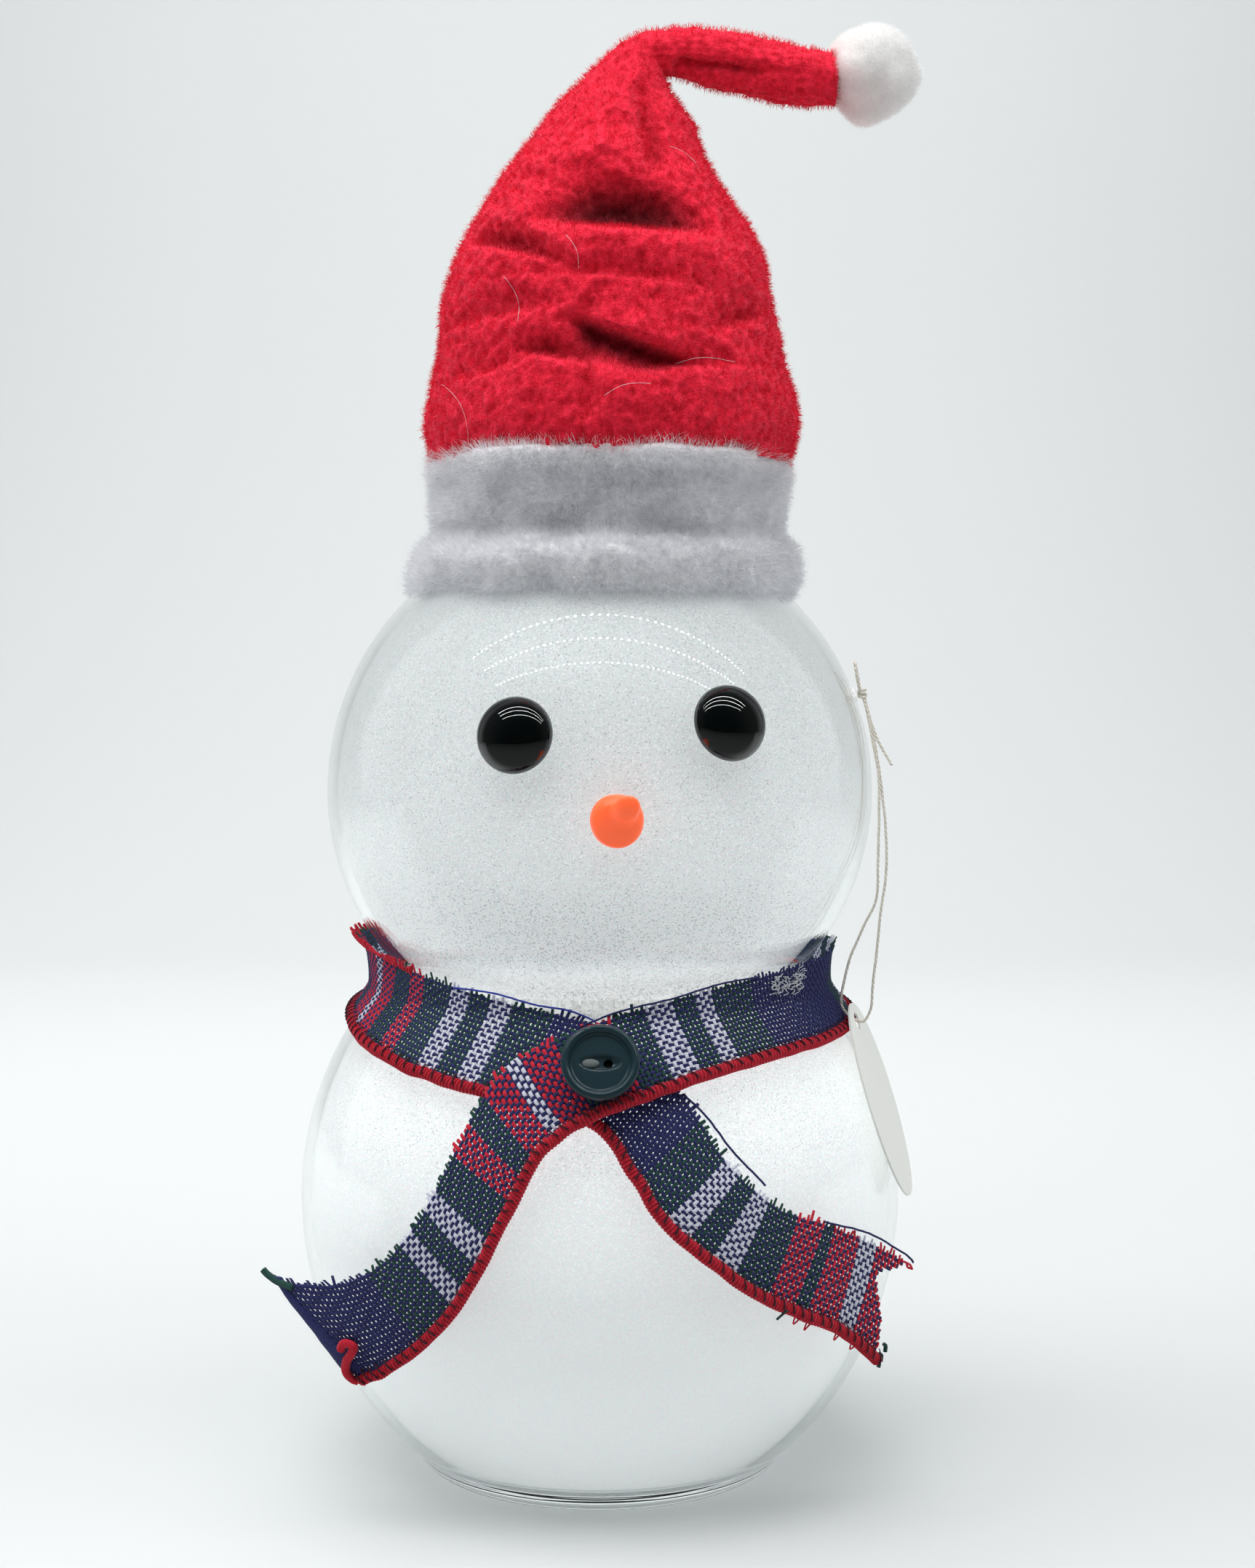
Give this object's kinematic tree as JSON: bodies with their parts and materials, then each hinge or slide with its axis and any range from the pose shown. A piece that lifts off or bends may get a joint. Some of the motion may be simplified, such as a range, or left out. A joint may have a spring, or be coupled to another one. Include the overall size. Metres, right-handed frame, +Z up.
{
  "type": "glass bowl snowman figure",
  "caption": "Free-standing snowman of two glitter-lined glass bowls, with a fleece hat, tartan scarf, button, craft face and hanging paper tag.",
  "frame": {"origin": "centre of the flat underside of the body bowl's foot", "axes": "+Z up, the face looks along -Y, +X to a viewer's right"},
  "size_m": [0.1596, 0.1566, 0.3657],
  "materials": {
    "clear_glass": "clear, faint green edge",
    "glitter_coat": "fine iridescent white glitter",
    "clear_glue": "clear hot-melt glue",
    "eye_black": "high gloss",
    "nose_orange": "fluorescent, satin",
    "tartan_cloth": "open plain weave, tartan stripes",
    "hem_thread": "overlocked edge",
    "button_teal": "satin gloss",
    "white_plush": "short pile plush",
    "red_fleece": "brushed fleece",
    "polyester_fill": "loose fibre",
    "craft_wire": "bright drawn",
    "cotton": "loose cotton wool",
    "jute_twine": "two-ply, natural",
    "tag_card": "matt card"
  },
  "bodies": {
    "bowls": {"body_bowl": "clear_glass", "head_bowl": "clear_glass", "body_glitter": "glitter_coat", "head_glitter": "glitter_coat", "neck_glue": "clear_glue", "eye_glue": "clear_glue", "nose_glue": "clear_glue", "button_glue": "clear_glue", "twine_glue": "clear_glue", "left_eye": "eye_black", "right_eye": "eye_black", "nose": "nose_orange", "scarf_collar": "tartan_cloth", "collar_hem": "hem_thread", "button": "button_teal"},
    "right_tail": {"scarf_right_tail": "tartan_cloth", "right_tail_hem": "hem_thread"},
    "left_tail": {"scarf_left_tail": "tartan_cloth", "left_tail_hem": "hem_thread"},
    "hat": {"hat_trim": "white_plush", "hat_cone": "red_fleece", "hat_stuffing": "polyester_fill"},
    "hat_tip": {"hat_tip": "red_fleece", "tip_wire": "craft_wire", "pompom": "cotton"},
    "tag_string": {"tag_twine": "jute_twine"},
    "tag": {"price_tag": "tag_card"}
  },
  "joints": [
    {"name": "hat_lift", "type": "slide", "parent": "bowls", "child": "hat", "axis": [0, 0, 1], "range_m": [0, 0.06]},
    {"name": "hat_tip_bend", "type": "hinge", "parent": "hat", "child": "hat_tip", "pos_m": [0.02, 0, 0.3589], "axis": [0, 1, 0], "range_deg": [-30, 25]},
    {"name": "left_tail_lift", "type": "hinge", "parent": "bowls", "child": "left_tail", "pos_m": [-0.01017, -0.07015, 0.11025], "axis": [-0.4501, 0.5067, 0.7353], "range_deg": [0, 50]},
    {"name": "right_tail_lift", "type": "hinge", "parent": "bowls", "child": "right_tail", "pos_m": [0.01122, -0.07134, 0.10197], "axis": [-0.6582, -0.3928, -0.6423], "range_deg": [0, 50]},
    {"name": "tag_swing", "type": "hinge", "parent": "bowls", "child": "tag_string", "pos_m": [0.06588, -0.01162, 0.1976], "axis": [-0.1736, -0.9848, 0], "range_deg": [0, 20]},
    {"name": "tag_tilt", "type": "hinge", "parent": "tag_string", "child": "tag", "pos_m": [0.06436, -0.01968, 0.1154], "axis": [-0.2924, -0.9563, 0], "range_deg": [0, 20]}
  ]
}
